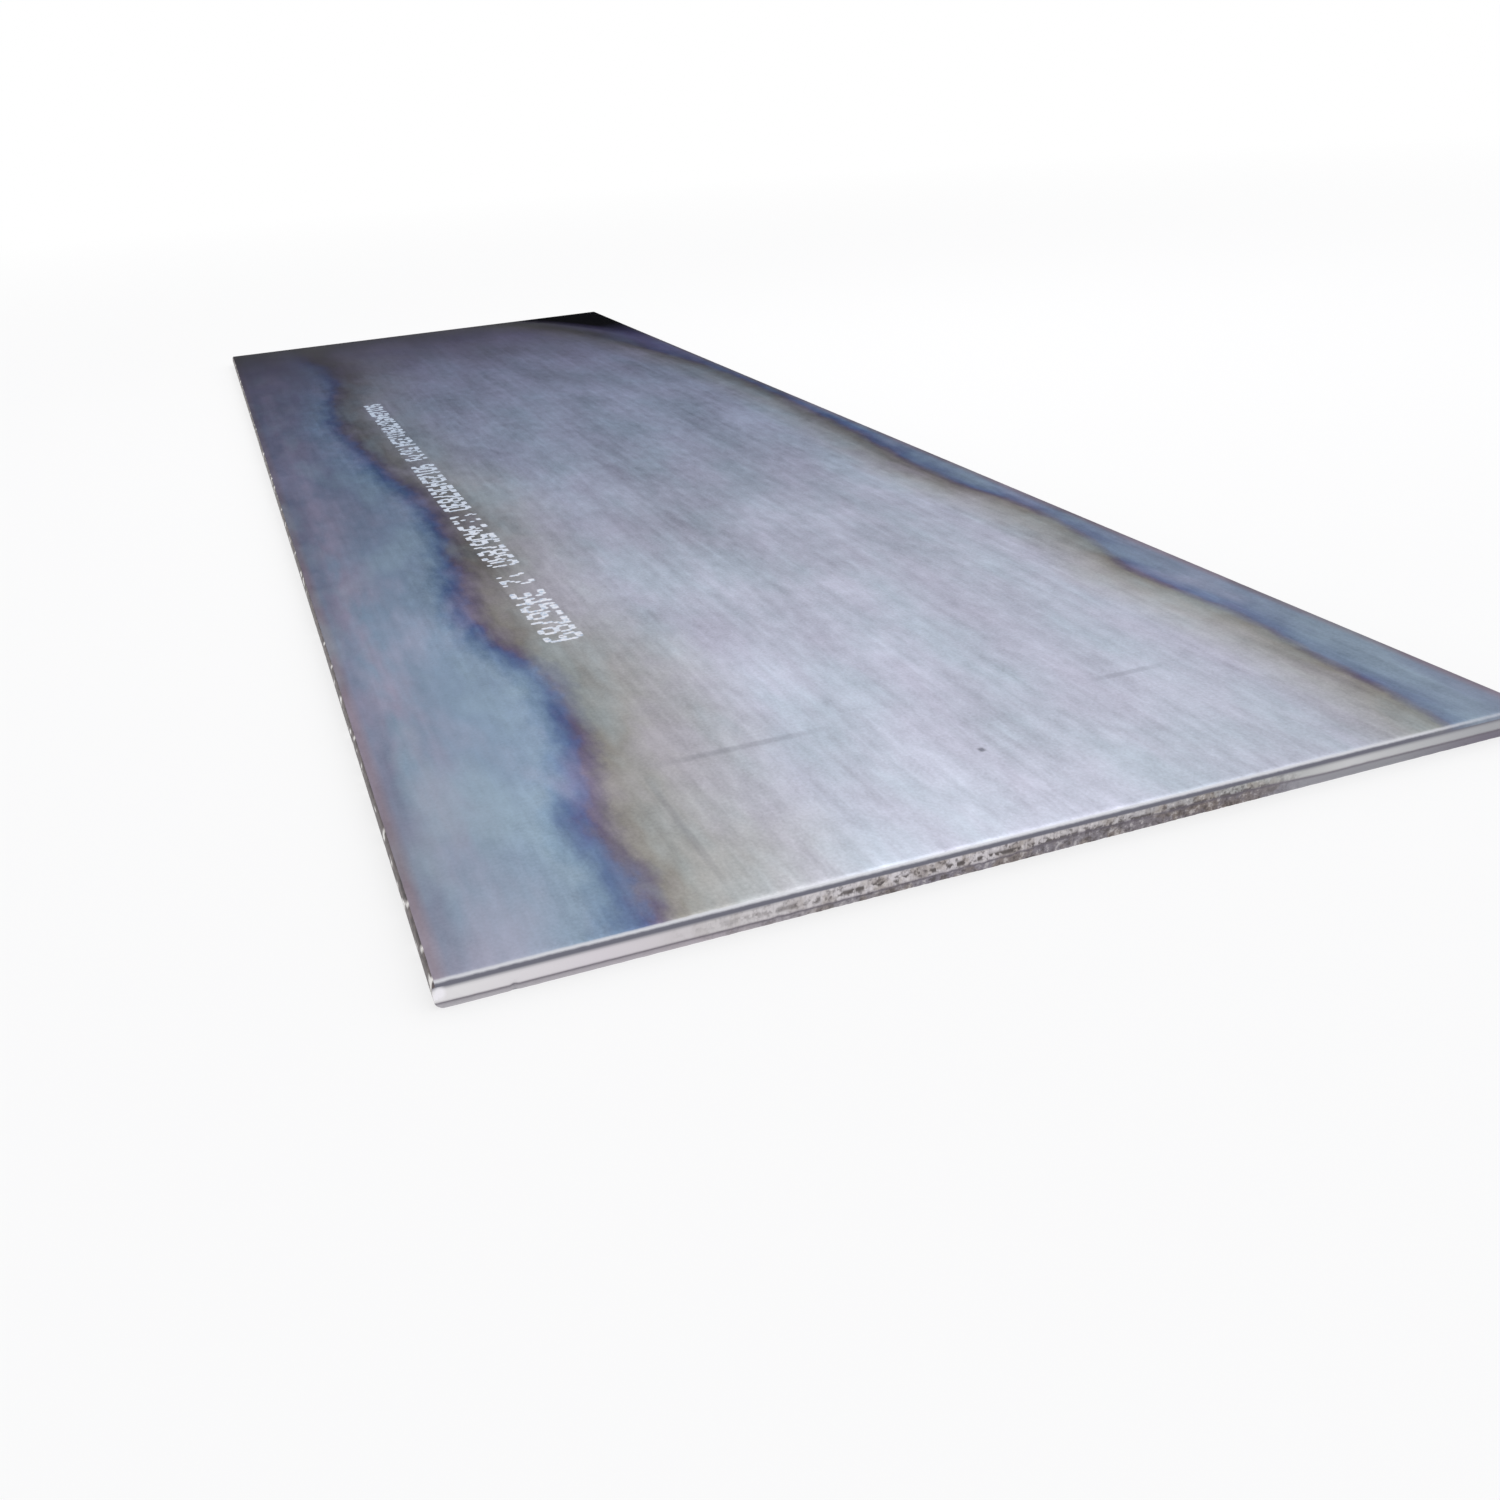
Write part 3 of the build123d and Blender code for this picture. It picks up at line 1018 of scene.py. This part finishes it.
DOT_ROWS = 7
DOT_COLUMNS = 5
DOT_PATTERNS = {
    "0": "01110 10001 10001 10001 10001 10001 01110",
    "1": "00100 01100 00100 00100 00100 00100 01110",
    "2": "01110 10001 00001 00110 01000 10000 11111",
    "3": "11110 00001 00001 01110 00001 00001 11110",
    "4": "00010 00110 01010 10010 11111 00010 00010",
    "5": "11111 10000 11110 00001 00001 10001 01110",
    "6": "01110 10000 10000 11110 10001 10001 01110",
    "7": "11111 00001 00010 00100 00100 01000 01000",
    "8": "01110 10001 10001 01110 10001 10001 01110",
    "9": "01110 10001 10001 01111 00001 00001 01110",
}
# Plain counting numbers, from the near end. The row reads towards the near end.
MARKING_GROUPS = (
    (0.00, 7, 1.0), (0.36, 2, 0.6), (0.50, 8, 0.9), (0.88, 2, 0.5),
    (1.00, 12, 0.9), (1.60, 4, 0.7), (1.80, 16, 0.8),
)
DOT_THICKNESS = 0.12 * MM
DOT_SINK = 0.04 * MM     # how deep a dot's underside lies in the face
DOT_JITTER = 0.6 * MM
DOT_RADII = (0.54, 0.72)   # least and most, as shares of the distance between rows


def build_marking_mesh(sizes, shape):
    """A row of dotted numbers, as thin discs of paint on the upper face."""
    rng = random.Random(35)
    bm = bmesh.new()
    column_pitch = sizes.advance / (DOT_COLUMNS + 1)
    last_start, last_numbers, _ = MARKING_GROUPS[-1]
    row_length = last_start + last_numbers * sizes.advance
    count = 0
    for group_start, numbers, strength in MARKING_GROUPS:
        for k in range(numbers):
            pattern = DOT_PATTERNS[str((9 - count) % 10)].split()
            count += 1
            along_row = group_start + k * sizes.advance
            y_right = -HALF_LENGTH + sizes.start + along_row
            share = along_row / row_length
            x_middle = -HALF_WIDTH + sizes.offset - share * sizes.drift
            row_pitch = sizes.height / DOT_ROWS * lerp(1.0, 0.7, share)
            for row, line in enumerate(pattern):
                for column, dot in enumerate(line):
                    if dot == "0" or rng.random() > 0.92 * strength + 0.05:
                        continue
                    x = x_middle + ((DOT_ROWS - 1) / 2 - row) * row_pitch
                    y = y_right + (DOT_COLUMNS - 1 - column) * column_pitch
                    x += rng.uniform(-DOT_JITTER, DOT_JITTER)
                    y += rng.uniform(-DOT_JITTER, DOT_JITTER)
                    z = shape.face_height(x, y) - DOT_SINK
                    spot = Matrix.Translation((x, y, z)) @ Matrix.Diagonal((1.12, 0.95, 1, 1))
                    radius = row_pitch * rng.uniform(*DOT_RADII) * lerp(0.8, 1.0, strength)
                    radius *= lerp(1.0, 1.6, share)
                    bmesh.ops.create_circle(bm, cap_ends=True, segments=10, radius=radius, matrix=spot)
    paint = bmesh.ops.extrude_face_region(bm, geom=bm.faces[:], use_keep_orig=True)
    raised = [v for v in paint["geom"] if isinstance(v, bmesh.types.BMVert)]
    bmesh.ops.translate(bm, verts=raised, vec=(0, 0, DOT_THICKNESS))
    return finish_mesh(bm, "marking_dots")


# Stage

# Camera, at the place from which the plate is seen as in the reference view
CAMERA_PLACE = (-0.8308, -3.8844, 0.8799)
CAMERA_HEADING = math.radians(18.34)
CAMERA_PITCH = math.radians(24.26)
CAMERA_ROLL = math.radians(-4.64)
CAMERA_LENS = 35.49
FLOOR_HALF = 60.0
LAMP_PLACE = (1.8, 0.6, 3.2)
# Beyond the plate's far end the surroundings are graded: how near a direction has to come to the
# middle of that side, as a cosine, and the brightness there from the horizon up
GRADED_SIDE = (math.sin(math.radians(12)), math.cos(math.radians(12)), 0.0)
GRADED_FROM = math.cos(math.radians(42))
GRADED_FULLY = math.cos(math.radians(25))
SKY_LEVELS = (
    (0.0, 1.0), (0.105, 1.0), (0.13, 0.11), (0.17, 0.26), (0.215, 0.50), (0.25, 1.05),
    (0.285, 1.55), (0.32, 1.42), (0.37, 1.10), (0.43, 0.90), (1.0, 0.96),
)


def build_floor(levels):
    """A wide pale floor, whiter to the camera the further it runs, that keeps the shadow."""
    bm = bmesh.new()
    bmesh.ops.create_grid(bm, x_segments=4, y_segments=4, size=FLOOR_HALF)
    floor = finish_mesh(bm, "floor")
    material, tree, shader = new_material("floor_pale")
    shader.inputs["Base Color"].default_value = rgba(levels.floor)
    shader.inputs["Roughness"].default_value = 0.9
    place = add(tree, "ShaderNodeTexCoord").outputs["Object"]
    distance = add(tree, "ShaderNodeVectorMath", {0: place}, operation="LENGTH").outputs["Value"]
    white_share = add(
        tree, "ShaderNodeMapRange",
        {"Value": distance, "From Min": 3.0, "From Max": 12.0, "To Min": 0.7, "To Max": 1.0},
    )
    rays = add(tree, "ShaderNodeLightPath").outputs
    seen = rays["Is Camera Ray"]
    for other in ("Is Glossy Ray", "Is Transmission Ray"):
        seen = add(tree, "ShaderNodeMath", {0: seen, 1: rays[other]}, operation="MAXIMUM").outputs[0]
    share = add(tree, "ShaderNodeMath", {0: white_share, 1: seen}, operation="MULTIPLY")
    white = add(tree, "ShaderNodeEmission", {"Color": (1, 1, 1, 1), "Strength": 1.0})
    mixed = add(tree, "ShaderNodeMixShader", {0: share, 1: shader, 2: white})
    tree.links.new(mixed.outputs[0], tree.nodes["Material Output"].inputs["Surface"])
    floor.data.materials.append(material)


def build_surroundings():
    """White surroundings, graded from dark to bright on the far side."""
    world = bpy.data.worlds.new("studio")
    world.use_nodes = True
    tree = world.node_tree
    direction = add(tree, "ShaderNodeTexCoord").outputs["Generated"]
    height = add(tree, "ShaderNodeSeparateXYZ", {0: direction}).outputs["Z"]
    sky = add(tree, "ShaderNodeValToRGB", {0: height})
    brightest = max(level for _, level in SKY_LEVELS)
    set_stops(sky.color_ramp, [
        (position, (*[level / brightest] * 3, 1)) for position, level in SKY_LEVELS
    ])
    level_way = add(tree, "ShaderNodeVectorMath", {0: direction, 1: (1, 1, 0)}, operation="MULTIPLY")
    level_way = add(tree, "ShaderNodeVectorMath", {0: level_way}, operation="NORMALIZE")
    facing = add(tree, "ShaderNodeVectorMath", {0: level_way, 1: GRADED_SIDE}, operation="DOT_PRODUCT")
    graded = add(
        tree, "ShaderNodeMapRange",
        {"Value": facing.outputs["Value"], "From Min": GRADED_FROM, "From Max": GRADED_FULLY},
        interpolation_type="SMOOTHSTEP",
    )
    white = (*[1 / brightest] * 3, 1)
    colour = add(tree, "ShaderNodeMix", {"Factor": graded, 6: white, 7: sky}, data_type="RGBA")
    light = tree.nodes["Background"]
    tree.links.new(colour.outputs[2], light.inputs["Color"])
    light.inputs["Strength"].default_value = brightest
    bpy.context.scene.world = world


def place_lamp(levels):
    """A large soft lamp above the near half of the plate."""
    lamp = bpy.data.lights.new("soft_lamp", "AREA")
    lamp.size = levels.lamp_size
    lamp.energy = levels.lamp_power
    holder = bpy.data.objects.new("soft_lamp", lamp)
    holder.location = LAMP_PLACE
    bpy.context.scene.collection.objects.link(holder)


def place_camera():
    """A camera at the reference view's place, height and angle."""
    lens = bpy.data.cameras.new("camera")
    lens.lens = CAMERA_LENS
    lens.sensor_width = 36.0
    lens.clip_end = 300.0
    camera = bpy.data.objects.new("camera", lens)
    camera.matrix_world = (
        Matrix.Translation(CAMERA_PLACE)
        @ Matrix.Rotation(-CAMERA_HEADING, 4, "Z")
        @ Matrix.Rotation(math.pi / 2 - CAMERA_PITCH, 4, "X")
        @ Matrix.Rotation(CAMERA_ROLL, 4, "Z")
    )
    bpy.context.scene.collection.objects.link(camera)
    bpy.context.scene.camera = camera


# Operators

class STEELPLATE_OT_plate(bpy.types.Operator):
    """Build the plate with its rolled faces, mill edges and sheared ends"""

    bl_idname = "steelplate.plate"
    bl_label = "Plate"

    def execute(self, context):
        scene = context.scene
        piece = build_plate_mesh(scene.plate_sizes)
        for material in (
            mill_scale(scene.scale_finish), sheared_steel(scene.cut_finish), mill_edge(scene.edge_finish)
        ):
            piece.data.materials.append(material)
        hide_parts("steel_plate")
        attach(piece, "root")
        return {"FINISHED"}


class STEELPLATE_OT_marking(bpy.types.Operator):
    """Spray the row of plain numbers on the upper face"""

    bl_idname = "steelplate.marking"
    bl_label = "Marking"

    def execute(self, context):
        scene = context.scene
        piece = build_marking_mesh(scene.marking_sizes, PlateShape(scene.plate_sizes))
        piece.data.materials.append(marking_paint(scene.marking_sizes))
        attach(piece, "root")
        return {"FINISHED"}


class STEELPLATE_OT_stage(bpy.types.Operator):
    """Set up the floor, the light and the camera"""

    bl_idname = "steelplate.stage"
    bl_label = "Stage"

    def execute(self, context):
        build_floor(context.scene.stage_levels)
        build_surroundings()
        place_lamp(context.scene.stage_levels)
        place_camera()
        context.scene.view_settings.view_transform = "Standard"
        return {"FINISHED"}


class STEELPLATE_PT_panel(bpy.types.Panel):
    """Lists the pieces and their sizes"""

    bl_idname = "STEELPLATE_PT_panel"
    bl_label = "Steel Plate"
    bl_space_type = "VIEW_3D"
    bl_region_type = "UI"
    bl_category = "Steel Plate"

    def draw(self, context):
        for operator, groups in (
            (STEELPLATE_OT_plate, ("plate_sizes", "scale_finish", "edge_finish", "cut_finish")),
            (STEELPLATE_OT_marking, ("marking_sizes",)),
            (STEELPLATE_OT_stage, ("stage_levels",)),
        ):
            box = self.layout.box()
            box.operator(operator.bl_idname)
            for group in groups:
                values = getattr(context.scene, group)
                for name in type(values).__annotations__:
                    box.prop(values, name)


GROUPS = {
    "plate_sizes": PlateSizes,
    "scale_finish": ScaleFinish,
    "edge_finish": EdgeFinish,
    "cut_finish": CutFinish,
    "marking_sizes": MarkingSizes,
    "stage_levels": StageLevels,
}
CLASSES = (
    *GROUPS.values(), STEELPLATE_OT_plate, STEELPLATE_OT_marking, STEELPLATE_OT_stage,
    STEELPLATE_PT_panel,
)


def register():
    for cls in CLASSES:
        bpy.utils.register_class(cls)
    for name, group in GROUPS.items():
        setattr(bpy.types.Scene, name, bpy.props.PointerProperty(type=group))


def unregister():
    for name in GROUPS:
        delattr(bpy.types.Scene, name)
    for cls in reversed(CLASSES):
        bpy.utils.unregister_class(cls)


def main():
    register()
    bpy.ops.steelplate.plate()
    bpy.ops.steelplate.marking()
    bpy.ops.steelplate.stage()


if __name__ == "__main__":
    main()
